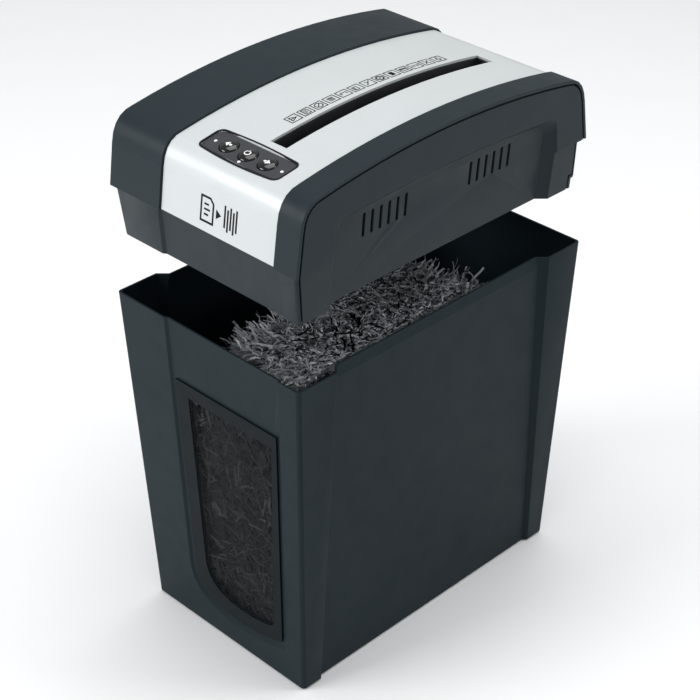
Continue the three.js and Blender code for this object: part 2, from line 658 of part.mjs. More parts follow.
// A bar beside a cutter with a finger in each gap between its discs.
function comb(shaft, side, gaps, firstGapY) {
  const barX = shaft.x + side * (CUTTER.radius + 3);
  const tipX = shaft.x + side * (CUTTER.core + 1);
  const finger = CUTTER.pitch - CUTTER.disc - 2;
  const edge = [];
  for (let i = 0; i < gaps; i++) {
    const y = firstGapY + i * CUTTER.pitch;
    edge.push([barX, y], [tipX, y], [tipX, y + finger], [barX, y + finger]);
  }
  const backX = barX + side * 4;
  const outline = [[barX, PLATE.front + 5], ...edge, [barX, PLATE.rear - 2], [backX, PLATE.rear - 2],
    [backX, PLATE.front + 5]];
  return extrudeZ(outline, shaft.h - 9, shaft.h - 2);
}

function makeInside() {
  const firstGap = CUTTER.y0 + CUTTER.disc + 1;
  addToHead("stripper_comb_left", comb(shaftA, -1, 13, firstGap), "inner");
  addToHead("stripper_comb_right", comb(shaftB, 1, 12, firstGap + CUTTER.pitch / 2), "inner");

  const slotLeft = SLOT.x - SLOT.width / 2;
  const slotRight = SLOT.x + SLOT.width / 2;
  const shell = 2;
  const footH = CUTTER.h + CUTTER.radius + 2.5;
  const guideOuter = box(slotLeft - shell, slotRight + shell, SLOT.y0 - 1.5, SLOT.y1 + 1.5, footH, 70);
  const guideInner = box(slotLeft, slotRight, SLOT.y0, SLOT.y1, footH - 1, 71);
  const under = underArch(FASCIA.sunk + FASCIA.thick + GAP, 0, 0, 60);
  const leverGate = box(slotRight - 1, slotRight + shell + 1, LEVER.y0 - 1, LEVER.y1 + 1, 18, 34);
  addToHead("throat_guide", cutAll(guideOuter.intersect(under), [guideInner, leverGate]), "inner");

  const pan = skirt(HEAD.wall + GAP, PAN.h0, PAN.h1);
  const outlet = box(OUTLET.x0, OUTLET.x1, OUTLET.y0, OUTLET.y1, PAN.h0 - 1, PAN.h1 + 1);
  addToHead("lower_pan", cutAll(pan, [...recesses(HEAD.wall + GAP), outlet]), "inner");
  const screws = {
    front_left: [-70, -135],
    front_right: [70, -135],
    rear_left: [-70, 138],
    rear_right: [70, 138],
  };
  for (const [name, [x, y]] of Object.entries(screws)) {
    const foot = PAN.h0 - 2.2;
    const profile = [[0, foot], [3.6, foot], [3.6, foot + 1], [2.2, PAN.h0 - GAP], [0, PAN.h0 - GAP]];
    addToHead("pan_screw_" + name, turnedZ(profile, x, y, 12), "steel");
  }

  const bore = MOTOR.shaft + 0.5;
  const can = [[bore, MOTOR.y0], [16, MOTOR.y0], [16, MOTOR.y0 + 6], [MOTOR.radius, MOTOR.y0 + 10],
    [MOTOR.radius, MOTOR.y1 - 4], [18, MOTOR.y1], [bore, MOTOR.y1], [bore, MOTOR.y0]];
  addToHead("motor_can", turnedY(can, motor.x, motor.h, 24), "steel");
  const spindle = rodY(MOTOR.shaft, MOTOR.y0 - 12, GEAR_Y.first[1] + 0.6, motor.x, motor.h, 12);
  addToHead("motor_shaft", spindle, "steel");
  addToHead("motor_fan", fan(), "inner");
  const saddle = box(motor.x - 20, motor.x + 20, MOTOR.y0 + 24, MOTOR.y1 - 18, PAN.h1 + GAP, motor.h - 14);
  const seat = rodY(MOTOR.radius + GAP, MOTOR.y0, MOTOR.y1, motor.x, motor.h, 24);
  addToHead("motor_cradle", saddle.subtract(seat), "inner");

  const boardH = PAN.h1 + 3;
  addToHead("power_board", box(-84, -24, -102, -8, boardH, boardH + 1.6), "board");
  const onBoard = boardH + 1.6 + GAP;
  addToHead("transformer", extrudeZ(roundedRect(-78, -46, -92, -60, 2), onBoard, onBoard + 26), "inner");
  addToHead("capacitor", box(-42, -29, -50, -22, onBoard, onBoard + 20), "nylon");
  addToHead("relay", box(-74, -54, -44, -28, onBoard, onBoard + 15), "bezel");
  const controlBoard = box(BEZEL.x - 38, BEZEL.x + 38, BUTTON.y - 9, BUTTON.y + 9, 40, 41.6);
  addToHead("control_board", controlBoard, "board");

  const { x0, x1, h0, h1, y0, y1 } = INLET;
  const socketY = y0 + 2.5;
  const socket = box(x0 + 3, x1 - 3, socketY, y1 + 1, h0 + 3, h1 - 3);
  const pinAt = (dx) => rodY(1.2, socketY - 1, y1 - 4, (x0 + x1) / 2 + dx, (h0 + h1) / 2, 10);
  const pins = [-4.5, 4.5].map(pinAt);
  addToHead("mains_inlet", joinAll([box(x0, x1, y0, y1, h0, h1).subtract(socket), ...pins]), "inner");

  const { radius } = PLUNGER;
  const plunger = [[0, PLUNGER.h0], [radius - 0.8, PLUNGER.h0], [radius, PLUNGER.h0 + 0.8],
    [radius, PLUNGER.h1], [0, PLUNGER.h1]];
  addToHead("interlock_plunger", turnedZ(plunger, PLUNGER.x, PLUNGER.y, 14), "nylon");
  const switchH = PLUNGER.h1 + PLUNGER.travel + 0.5;
  const switchBody = box(PLUNGER.x - 8, PLUNGER.x + 8, 138, 147, switchH - 5, switchH + 6);
  const switchArm = box(PLUNGER.x - 2.5, PLUNGER.x + 2.5, 146, 154, switchH, switchH + 1);
  addToHead("interlock_switch", switchBody.add(switchArm), "inner");

  const { x: pivotX, h: pivotH } = LEVER;
  addToHead("sensor_pin", rodY(1.2, LEVER.y0 - 8, LEVER.y1 + 8, pivotX, pivotH, 10), "steel");
  const tipX = SLOT.x - 2;
  const armOutline = [[pivotX - 4, pivotH - 3.2], [pivotX + 4, pivotH - 3.2], [pivotX + 4, pivotH + 3.2],
    [pivotX - 4, pivotH + 3.2], [tipX, pivotH + 1], [tipX, pivotH - 1.5]];
  const armBore = rodY(1.5, LEVER.y0 - 1, LEVER.y1 + 1, pivotX, pivotH, 10);
  addToHead("sensor_lever", extrudeY(armOutline, LEVER.y0, LEVER.y1).subtract(armBore), "nylon");
  const cheeks = [LEVER.y0 - 6, LEVER.y1 + 2].map((y) =>
    box(pivotX - 4, pivotX + 12, y, y + 4, pivotH - 5, pivotH + 5),
  );
  const back = box(pivotX + 8, pivotX + 12, LEVER.y0 - 6, LEVER.y1 + 6, pivotH - 5, pivotH + 5);
  const pinHole = rodY(1.5, LEVER.y0 - 9, LEVER.y1 + 9, pivotX, pivotH, 10);
  addToHead("sensor_bracket", joinAll([...cheeks, back]).subtract(pinHole), "inner");
}

// A small cooling fan on the motor shaft: a hub with blades.
function fan() {
  const y0 = MOTOR.y0 - 10;
  const y1 = MOTOR.y0 - 3;
  const hub = rodY(6, y0, y1, motor.x, motor.h, 12);
  const blades = Array.from({ length: 6 }, (_, i) => {
    const geometry = new THREE.BoxGeometry(16, y1 - y0, 1.6);
    geometry.translate(12, (y0 + y1) / 2, 0);
    geometry.rotateY((i * Math.PI) / 3);
    geometry.translate(motor.x, 0, motor.h);
    return toSolid(geometry);
  });
  return joinAll([hub, ...blades]).subtract(rodY(MOTOR.shaft + 0.35, y0 - 1, y1 + 1, motor.x, motor.h, 12));
}

makeBin();
makeHousing();
makeFascia();
makeCutters();
makeInside();

export default group;
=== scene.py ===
# Looks for the paper shredder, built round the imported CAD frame. Metres, +Z up, floor at Z = 0.
import json
import math
import random

import bmesh
import bpy
from mathutils import Matrix, Vector, noise


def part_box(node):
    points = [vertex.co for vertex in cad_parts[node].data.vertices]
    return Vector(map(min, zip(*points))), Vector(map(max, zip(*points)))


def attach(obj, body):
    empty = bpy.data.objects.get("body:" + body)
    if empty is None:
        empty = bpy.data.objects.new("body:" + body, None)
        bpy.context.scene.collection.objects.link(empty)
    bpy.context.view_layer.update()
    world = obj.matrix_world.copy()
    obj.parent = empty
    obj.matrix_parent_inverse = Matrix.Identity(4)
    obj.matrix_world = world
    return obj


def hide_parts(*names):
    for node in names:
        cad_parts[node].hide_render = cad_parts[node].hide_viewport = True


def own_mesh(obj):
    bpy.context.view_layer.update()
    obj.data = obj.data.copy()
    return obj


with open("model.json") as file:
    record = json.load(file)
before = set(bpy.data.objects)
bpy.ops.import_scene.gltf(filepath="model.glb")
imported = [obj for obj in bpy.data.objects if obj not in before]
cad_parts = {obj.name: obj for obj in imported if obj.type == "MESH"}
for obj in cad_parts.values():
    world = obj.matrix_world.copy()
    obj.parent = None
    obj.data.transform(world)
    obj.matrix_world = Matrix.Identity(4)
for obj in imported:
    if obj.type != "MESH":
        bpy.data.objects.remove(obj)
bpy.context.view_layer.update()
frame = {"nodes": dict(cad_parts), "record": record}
MM = 0.001

# ---- places taken from the frame --------------------------------------------------------------

HEAD_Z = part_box("hood_frame")[0].z + 42.6 * MM  # the ledge the head rests on
PANE_LOW, PANE_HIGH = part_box("window_pane")
ARCH_RADIUS = 0.760
PANEL_SUNK = 2 * MM  # how far the silver panel lies below the rails, on top and in front
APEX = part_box("fascia_panel")[1].z + PANEL_SUNK  # crown of the rails
FRONT_Y, FRONT_LEAN = 159.2 * MM, 4.9 / 34  # the head's front at the ledge, and its lean back per height


def centre(node):
    low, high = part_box(node)
    return (low + high) / 2


def arch_z(y, sunk):
    """Height of the head's top at a depth y, sunk below the rails."""
    return APEX - y * y / (2 * ARCH_RADIUS) - sunk


# ---- materials --------------------------------------------------------------------------------


def tone(r, g, b):
    """An sRGB colour, 0 to 255, as linear values."""

    def linear(v):
        v /= 255
        return v / 12.92 if v <= 0.04045 else ((v + 0.055) / 1.055) ** 2.4

    return (linear(r), linear(g), linear(b), 1.0)


class Nodes:
    """A new Principled material and short calls to wire nodes into it."""

    def __init__(self, name, **sockets):
        self.material = bpy.data.materials.new(name)
        self.material.use_nodes = True
        self.tree = self.material.node_tree
        self.shader = self.tree.nodes["Principled BSDF"]
        for key, value in sockets.items():
            self.shader.inputs[key.replace("_", " ")].default_value = value
        coordinates = self.tree.nodes.new("ShaderNodeTexCoord")
        self.place = coordinates.outputs["Object"]

    def node(self, kind, links=(), **settings):
        made = self.tree.nodes.new(kind)
        for key, value in settings.items():
            if hasattr(made, key):
                setattr(made, key, value)
            else:
                made.inputs[key.replace("_", " ")].default_value = value
        for socket, source in dict(links).items():
            self.tree.links.new(source, made.inputs[socket])
        return made

    def noise(self, scale, detail=3.0, stretch=(1, 1, 1)):
        mapping = self.node("ShaderNodeMapping", {"Vector": self.place})
        mapping.inputs["Scale"].default_value = stretch
        where = {"Vector": mapping.outputs["Vector"]}
        return self.node("ShaderNodeTexNoise", where, Scale=scale, Detail=detail).outputs["Fac"]

    def spread(self, source, low, high, start=0.3, end=0.7):
        limits = {"From_Min": start, "From_Max": end, "To_Min": low, "To_Max": high}
        return self.node("ShaderNodeMapRange", {"Value": source}, **limits).outputs["Result"]

    def ramp(self, source, *stops):
        made = self.node("ShaderNodeValToRGB", {"Fac": source})
        elements = made.color_ramp.elements
        while len(elements) < len(stops):
            elements.new(0.5)
        for element, (position, colour) in zip(elements, stops):
            element.position = position
            element.color = colour
        return made.outputs["Color"]

    def feed(self, socket, source):
        self.tree.links.new(source, self.shader.inputs[socket])

    def bump(self, source, distance, strength=1.0):
        made = self.node("ShaderNodeBump", {"Height": source}, Distance=distance, Strength=strength)
        self.feed("Normal", made.outputs["Normal"])


def shade(colour, factor):
    return tuple(min(1.0, v * factor) for v in colour[:3]) + (1.0,)


def moulded(name, colour, roughness, grain=1100, depth=0.018, mottle=0.05, **sockets):
    """Moulded plastic: a fine eroded grain, slightly cloudy colour and uneven gloss."""
    made = Nodes(name, Roughness=roughness, **sockets)
    cloud = made.noise(14, 4)
    low, high = shade(colour, 1 - mottle), shade(colour, 1 + mottle)
    made.feed("Base Color", made.ramp(cloud, (0.3, low), (0.7, high)))
    made.feed("Roughness", made.spread(made.noise(60, 5), roughness - 0.05, roughness + 0.05))
    made.bump(made.noise(grain, 2), depth * MM)
    return made.material


def metal(name, colour, roughness, brush=(1, 40, 1), scale=120, depth=0.02):
    """Worked metal: fine lines along one axis, with oil and handling marks in the gloss."""
    made = Nodes(name, Metallic=1.0)
    lines = made.noise(scale, 4, brush)
    stains = made.ramp(made.noise(35, 4), (0.25, shade(colour, 0.8)), (0.75, shade(colour, 1.1)))
    made.feed("Base Color", stains)
    made.feed("Roughness", made.spread(lines, roughness - 0.08, roughness + 0.14))
    made.bump(lines, depth * MM, 0.6)
    return made.material


def silver_lacquer():
    """Pale metallic lacquer: a tight sparkle of flakes under a soft clear coat."""
    colour = tone(199, 204, 205)
    made = Nodes("silver_lacquer", Metallic=0.1, Coat_Weight=0.15, Coat_Roughness=0.25)
    flakes = made.node("ShaderNodeTexVoronoi", {"Vector": made.place}, Scale=2600.0)
    spark = made.spread(flakes.outputs["Distance"], 0.0, 1.0, 0.0, 0.8)
    made.feed("Base Color", made.ramp(spark, (0.0, shade(colour, 1.04)), (1.0, shade(colour, 0.95))))
    made.feed("Roughness", made.spread(made.noise(40, 4), 0.36, 0.46))
    made.bump(made.noise(1500, 2), 0.006 * MM)
    return made.material


def smoked_window():
    """Clear smoked plastic, polished, with a faint ripple from moulding."""
    made = Nodes("smoked_window", Alpha=0.22, IOR=1.45, Specular_IOR_Level=0.08)
    made.feed("Base Color", made.ramp(made.noise(12), (0.2, tone(3, 4, 5)), (0.8, tone(6, 7, 8))))
    made.feed("Roughness", made.spread(made.noise(9), 0.16, 0.24))
    made.bump(made.noise(9, 0), 0.01 * MM)
    return made.material


def board_mask():
    """Circuit board lacquer with pale copper runs under it."""
    made = Nodes("board_mask", Roughness=0.35, Coat_Weight=0.4)
    bricks = made.node("ShaderNodeTexBrick", {"Vector": made.place}, Scale=220.0, Mortar_Size=0.06)
    bricks.inputs["Color1"].default_value = tone(28, 92, 58)
    bricks.inputs["Color2"].default_value = tone(24, 82, 50)
    bricks.inputs["Mortar"].default_value = tone(62, 128, 84)
    made.feed("Base Color", bricks.outputs["Color"])
    made.bump(bricks.outputs["Fac"], 0.03 * MM)
    return made.material


def shredded_paper():
    """Grey shreds: each strip a little lighter or darker at random, with those behind the window darker as
    painted shade, and paper tooth.
    """
    made = Nodes("shredded_paper", Roughness=0.85)
    tone_and_shade = made.node("ShaderNodeAttribute", attribute_name="tone_and_shade")
    greys = made.ramp(tone_and_shade.outputs["Fac"], (0.0, tone(30, 35, 38)), (1.0, tone(180, 183, 188)))
    made.feed("Base Color", greys)
    made.bump(made.noise(1600, 3), 0.05 * MM)
    return made.material


LOOKS = {
    "bin_plastic": moulded("bin_plastic", tone(26, 37, 42), 0.45, Specular_IOR_Level=0.09),
    "housing_plastic": moulded("housing_plastic", tone(35, 44, 49), 0.42, Specular_IOR_Level=0.14),
    "silver_plastic": silver_lacquer(),
    "window_smoke": smoked_window(),
    "bezel_plastic": moulded("bezel_plastic", tone(56, 58, 62), 0.5, Specular_IOR_Level=0.25),
    "button_plastic": moulded("button_plastic", tone(8, 8, 10), 0.12, depth=0.002, Coat_Weight=0.3),
    "lens_plastic": moulded("lens_plastic", tone(236, 240, 246), 0.22, depth=0.004),
    "inner_plastic": moulded("inner_plastic", tone(34, 36, 39), 0.55, depth=0.03),
    "foot_rubber": moulded("foot_rubber", tone(24, 24, 25), 0.85, grain=500, depth=0.08),
    "cutter_steel": metal("cutter_steel", tone(176, 178, 180), 0.3),
    "zinc_plate": metal("zinc_plate", tone(196, 198, 200), 0.38, brush=(4, 1, 4), scale=40),
    "bearing_brass": metal("bearing_brass", tone(196, 160, 90), 0.35),
    "gear_nylon": moulded("gear_nylon", tone(226, 222, 208), 0.45, depth=0.01),
    "circuit_board": board_mask(),
}
PRINT_BLACK = moulded("print_black", tone(12, 13, 14), 0.6, depth=0.002, Specular_IOR_Level=0.15)
PANE_BORDER = moulded("pane_border", tone(14, 22, 26), 0.4, depth=0.003, Specular_IOR_Level=0.06)
PRINT_WHITE = moulded("print_white", tone(232, 234, 236), 0.45, depth=0.002)
TRIM_BLACK = moulded("trim_black", tone(12, 13, 14), 0.5, depth=0.004, Specular_IOR_Level=0.2)
SHRED_PAPER = shredded_paper()

# ---- building pieces ---------------------------------------------------------------------------


def add_piece(name, mesh, body, material, slot=None, replaces=()):
    piece = bpy.data.objects.new(name, mesh)
    bpy.context.scene.collection.objects.link(piece)
    piece.data.materials.clear()
    piece.data.materials.append(material)
    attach(piece, body)
    if replaces:
        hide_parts(*replaces)
    return piece


def soften(piece, angle=35):
    for polygon in piece.data.polygons:
        polygon.use_smooth = True
    piece.data.set_sharp_from_angle(angle=math.radians(angle))


BODY_OF = {n: b for b, ns in frame["record"]["behaviour"]["bodies"].items() for n in ns}
SLOT_OF = {s["node"]: s["material_slot"] for s in frame["record"]["subparts"]}


def refine(node, width):
    """A CAD node as a finished moulding: clean faces, and every hard edge rounded."""
    mesh = frame["nodes"][node].data.copy()
    shape = bmesh.new()
    shape.from_mesh(mesh)
    bmesh.ops.remove_doubles(shape, verts=shape.verts, dist=0.02 * MM)
    bmesh.ops.dissolve_degenerate(shape, edges=shape.edges, dist=0.03 * MM)
    bmesh.ops.dissolve_limit(
        shape, angle_limit=math.radians(0.05), verts=shape.verts, edges=shape.edges, delimit={"NORMAL"}
    )
    shape.to_mesh(mesh)
    shape.free()
    slot = SLOT_OF[node]
    piece = add_piece(node + "_finish", mesh, BODY_OF[node], LOOKS[slot], slot, [node])
    soften(piece, CRISP.get(node, 30))
    bevel = piece.modifiers.new("rounded_edges", "BEVEL")
    bevel.width = width * MM
    bevel.segments = 2
    bevel.limit_method = "ANGLE"
    bevel.angle_limit = math.radians(30)
    bevel.use_clamp_overlap = False
    bevel.harden_normals = True
    bevel.miter_outer = "MITER_ARC"


MADE_ANEW = (
    "cutter_a", "cutter_b", "button_reverse", "button_power", "button_forward", "window_pane",
)
EDGE_WIDTH = 0.35
# Angles in degrees above which an edge stays crisp, where it isn't 30.
CRISP = {"side_panel_right": 13, "side_panel_left": 13, "hood_frame": 24, "bin_tub": 16}
for node in frame["nodes"]:
    if node not in MADE_ANEW:
        refine(node, EDGE_WIDTH)

# ---- prints, trims and cutters -----------------------------------------------------------------


def ribbon(shape, points, width, low=-0.12, high=0.1, closed=False):
    """One closed raised line through flat points, in mm."""
    flat = [Vector(p) for p in points]
    rings = []
    for i, here in enumerate(flat):
        before = flat[i - 1] if (i or closed) else here * 2 - flat[1]
        after = flat[(i + 1) % len(flat)] if (i + 1 < len(flat) or closed) else here * 2 - flat[i - 1]
        a, b = (here - before).normalized(), (after - here).normalized()
        across = Vector((-a.y, a.x))
        normal = (across + Vector((-b.y, b.x))).normalized()
        reach = width / 2 / max(0.5, normal.dot(across))
        left, other = here + normal * reach, here - normal * reach
        corners = ((left, high), (other, high), (other, low), (left, low))
        rings.append([shape.verts.new((p.x, p.y, h)) for p, h in corners])
    count = len(rings)
    for i in range(count if closed else count - 1):
        one, two = rings[i], rings[(i + 1) % count]
        for k in range(4):
            shape.faces.new((one[k], two[k], two[(k + 1) % 4], one[(k + 1) % 4]))
    if not closed:
        shape.faces.new(rings[0])
        shape.faces.new(reversed(rings[-1]))


def plate(shape, points, low=-0.12, high=0.1):
    """One closed filled patch."""
    tops = [shape.verts.new((u, v, high)) for u, v in points]
    feet = [shape.verts.new((u, v, low)) for u, v in points]
    shape.faces.new(tops)
    shape.faces.new(reversed(feet))
    for i in range(len(points)):
        k = (i + 1) % len(points)
        shape.faces.new((tops[k], tops[i], feet[i], feet[k]))


def lay(shape, sheet, longest=1.0):
    """Bends a flat drawing over a surface: sheet(u, v, h) gives the place in space."""
    bmesh.ops.triangulate(shape, faces=[f for f in shape.faces if len(f.verts) > 4])
    for _ in range(4):
        long_edges = [e for e in shape.edges if e.calc_length() > longest]
        if not long_edges:
            break
        bmesh.ops.subdivide_edges(shape, edges=long_edges, cuts=1, use_grid_fill=True)
        bmesh.ops.triangulate(shape, faces=[f for f in shape.faces if len(f.verts) > 4])
    for vertex in shape.verts:
        vertex.co = sheet(*vertex.co)


def circle(u, v, radius, steps=18, start=0.0, turn=360.0):
    """Points on a circle or an arc, from start through turn, in degrees."""
    full = abs(turn) >= 360
    count = steps if full else steps + 1
    angles = (math.radians(start + turn * i / steps) for i in range(count))
    return [(u + radius * math.cos(a), v + radius * math.sin(a)) for a in angles]


def finish_mesh(name, shape):
    bmesh.ops.recalc_face_normals(shape, faces=shape.faces)
    mesh = bpy.data.meshes.new(name)
    shape.to_mesh(mesh)
    shape.free()
    return mesh


def card(u, v, w, h):
    """A rectangle's corners round a middle."""
    return [(u - w / 2, v - h / 2), (u + w / 2, v - h / 2), (u + w / 2, v + h / 2), (u - w / 2, v + h / 2)]


# The icons from front to rear, each within 7 mm.
# Each is a list of (kind, points, line width), where the kind is "loop", "line" or "fill".
GLYPHS = {
    "play": [("loop", [(-2.2, -2.4), (2.4, 0), (-2.2, 2.4)], 0.5), ("line", [(-2.2, 0), (0.6, 0)], 0.5)],
    "sheet": [("loop", card(0, 0, 4.2, 5.4), 0.45), ("line", [(-1.2, 1.2), (1.2, 1.2)], 0.4),
              ("line", [(-1.2, 0), (1.2, 0)], 0.4), ("line", [(-1.2, -1.2), (0.6, -1.2)], 0.4)],
    "slash": [("loop", circle(0, 0, 2.7), 0.5), ("line", [(-1.9, -1.9), (1.9, 1.9)], 0.5)],
    "strips": [("line", [(-2.4, 1.8), (2.4, 1.8)], 0.6)]
    + [("line", [(k * 1.2, 1.2), (k * 1.2, -2.4)], 0.45) for k in (-1.6, -0.6, 0.4, 1.4)],
    "staple": [("line", [(-2.2, -1.4), (-2.2, 1.0), (2.2, 1.0), (2.2, -1.4)], 0.55)],
    "clip": [("line", [(-1.2, -1.8), (-1.2, 1.6), (1.3, 1.6), (1.3, -2.3), (-2.3, -2.3), (-2.3, 2.4)], 0.45)],
    "thin_slash": [("line", [(-2.8, -2.8), (2.8, 2.8)], 0.5), ("line", [(-1.6, 1.8), (0.2, 0)], 0.5)],
    "disc": [("loop", circle(0, 0, 2.6), 0.9), ("fill", circle(0, 0, 0.9, 12), 0)],
    "hand": [("fill", card(0, -1.2, 3.4, 2.4), 0)]
    + [("line", [(k, -0.2), (k, 2.4)], 0.6) for k in (-1.4, -0.5, 0.4, 1.3)],
    "card": [("loop", card(0, 0, 5.4, 3.6), 0.45), ("fill", card(0, 0.6, 5.4, 0.9), 0)],
    "empty": [("loop", card(0, 0, 5.0, 1.6), 0.35)],
    "cross": [("line", [(-2.3, -2.3), (2.3, 2.3)], 0.55), ("line", [(-2.3, 2.3), (2.3, -2.3)], 0.55)],
    "drop": [("loop", [(0, 2.6), (1.7, -0.4), (1.1, -2.0), (-1.1, -2.0), (-1.7, -0.4)], 0.5)],
}
ICON_PITCH, FIRST_ICON, ICONS_FROM_SLOT = 13.0, -72, 18.2
MARK_X, MARK_ABOVE_LEDGE = 17.7 * MM, 17.8 * MM
SLOT_X = centre("throat_guide").x


def draw(shape, glyph, scale=1.0, u0=0.0):
    for kind, points, width in glyph:
        points = [(u * scale + u0, v * scale) for u, v in points]
        if kind == "fill":
            plate(shape, points)
        else:
            ribbon(shape, points, width * scale * 1.25, closed=kind == "loop")


def icon_row():
    """Thirteen outlined squares along the slot, read from the right side of the head."""
    shape = bmesh.new()
    for i, glyph in enumerate(GLYPHS.values()):
        middle = FIRST_ICON + ICON_PITCH * i
        ribbon(shape, [(u + middle, v) for u, v in card(0, 0, 10.2, 9.6)], 0.75, closed=True)
        draw(shape, glyph, 1.2, middle)

    def sheet(u, v, h):
        return Vector((SLOT_X - (ICONS_FROM_SLOT + v) * MM, u * MM, arch_z(u * MM, PANEL_SUNK) + h * MM))

    lay(shape, sheet, 2.5)
    return add_piece("icon_row", finish_mesh("icon_row", shape), "head", PRINT_BLACK, "silver_plastic")


def front_mark():
    """A generic sign on the front: a sheet, a pointer and the strips it is cut into."""

    def sheet(u, v, h):
        up = MARK_ABOVE_LEDGE + v * MM
        y = PANEL_SUNK - (FRONT_Y - up * FRONT_LEAN)
        return Vector((MARK_X + u * MM, y - h * MM, HEAD_Z + up))

    shape = bmesh.new()
    ribbon(shape, [(-19, -9.5), (-6, -9.5), (-6, 6), (-9.5, 9.5), (-19, 9.5)], 1.7, closed=True)
    for v, reach in ((4, -11), (0, -9.5), (-4, -11)):
        ribbon(shape, [(-15.8, v), (reach, v)], 1.5)
    plate(shape, [(-2.8, -3.8), (2.6, 0), (-2.8, 3.8)])
    for i in range(5):
        u = 6.6 + 3.1 * i
        ribbon(shape, [(u, 9.8 - (i % 2) * 2.4), (u, -9.8 + ((i + 1) % 2) * 2.4)], 1.7)
    lay(shape, sheet, 6)
    return add_piece("front_mark", finish_mesh("front_mark", shape), "head", PRINT_BLACK, "silver_plastic")


icon_row()
front_mark()

TILT = 0.165  # the control panel's lean towards the front, in radians


def on_tilt(node):
    """Places in mm from the middle of a control, on axes tilted with the panel."""
    middle = centre(node)
    normal = Vector((0, -math.sin(TILT), math.cos(TILT)))
    upward = Vector((0, math.cos(TILT), math.sin(TILT)))
    return lambda u, v, h: middle + Vector((1, 0, 0)) * u * MM + upward * v * MM + normal * h * MM


def lathe(shape, profile, steps, sheet):
    """A closed turned body: the profile is (radius, h) pairs, and both ends are capped."""
    rings = []
    for radius, h in profile:
        rings.append([shape.verts.new(sheet(u, v, h)) for u, v in circle(0, 0, radius, steps)])
    for one, two in zip(rings, rings[1:]):
        for k in range(steps):
            shape.faces.new((one[k], one[(k + 1) % steps], two[(k + 1) % steps], two[k]))
    shape.faces.new(rings[-1])
    shape.faces.new(reversed(rings[0]))


def dome(node, body):
    """A push button: a flat skirt that turns into a glossy dome."""
    sheet = on_tilt(node)
    foot, chamfer, spring, top = -3.3, 1.2, 1.6, 4.4
    radius, dome_radius, rise = 7.5, 7.42, top - spring
    profile = [(radius, foot), (radius, chamfer), (dome_radius, spring)]
    for degrees in range(9, 90, 9):
        a = math.radians(degrees)
        profile.append((dome_radius * math.cos(a), spring + rise * math.sin(a)))
    shape = bmesh.new()
    lathe(shape, profile, 48, sheet)
    name = node + "_dome"
    piece = add_piece(name, finish_mesh(name, shape), body, LOOKS["button_plastic"], "button_plastic", [node])
    soften(piece)

    def on_dome(u, v, h):
        reach = min(0.95, math.hypot(u, v) / dome_radius)
        return sheet(u, v, spring + rise * math.sqrt(1 - reach * reach) + h)

    return on_dome


BUTTON_SIGNS = {
    "button_reverse": [
        ("fill", [(-3.2, 0), (0.4, 2.6), (0.4, -2.6)], 0), ("line", [(1.0, 0), (3.2, 0)], 1.5),
    ],
    "button_power": [
        ("line", circle(0, 0, 2.4, 16, 120, 300), 0.7), ("line", [(0, 1.2), (0, 3.2)], 0.7),
    ],
    "button_forward": [
        ("fill", [(3.2, 0), (-0.4, -2.6), (-0.4, 2.6)], 0), ("line", [(-3.2, 0), (-1.0, 0)], 1.5),
    ],
}
for node, sign in BUTTON_SIGNS.items():
    surface = dome(node, BODY_OF[node])
    shape = bmesh.new()
    draw(shape, sign)
    lay(shape, surface, 0.7)
    add_piece(node + "_sign", finish_mesh(node + "_sign", shape), BODY_OF[node], PRINT_WHITE, "lens_plastic")


def bezel_ring():
    """The dark line round the grey control panel, filling the gap to the silver one."""
    middle = centre("control_bezel")
    across, deep, corner, bow = 36.6, 7.2, 5.3, 1.6
    points = []
    for su, sv, start in ((1, 1, 0), (-1, 1, 90), (-1, -1, 180), (1, -1, 270)):
        points += circle(su * across, sv * deep, corner, 5, start, 90)
    bowed = []
    for i, (u, v) in enumerate(points):
        bowed.append((u, v))
        after = points[(i + 1) % len(points)]
        if abs(after[0] - u) > 20:
            for k in range(1, 12):
                t = k / 12
                bowed.append((u + (after[0] - u) * t, v + math.copysign(bow * math.sin(math.pi * t), v)))

    def sheet(u, v, h):
        y = middle.y + v * MM
        return Vector((middle.x + u * MM, y, arch_z(y, PANEL_SUNK) + h * MM))

    shape = bmesh.new()
    ribbon(shape, bowed, 1.5, low=-0.66, high=0.2, closed=True)
    lay(shape, sheet, 4)
    piece = add_piece("bezel_ring", finish_mesh("bezel_ring", shape), "head", TRIM_BLACK, "bezel_plastic")
    soften(piece)


bezel_ring()


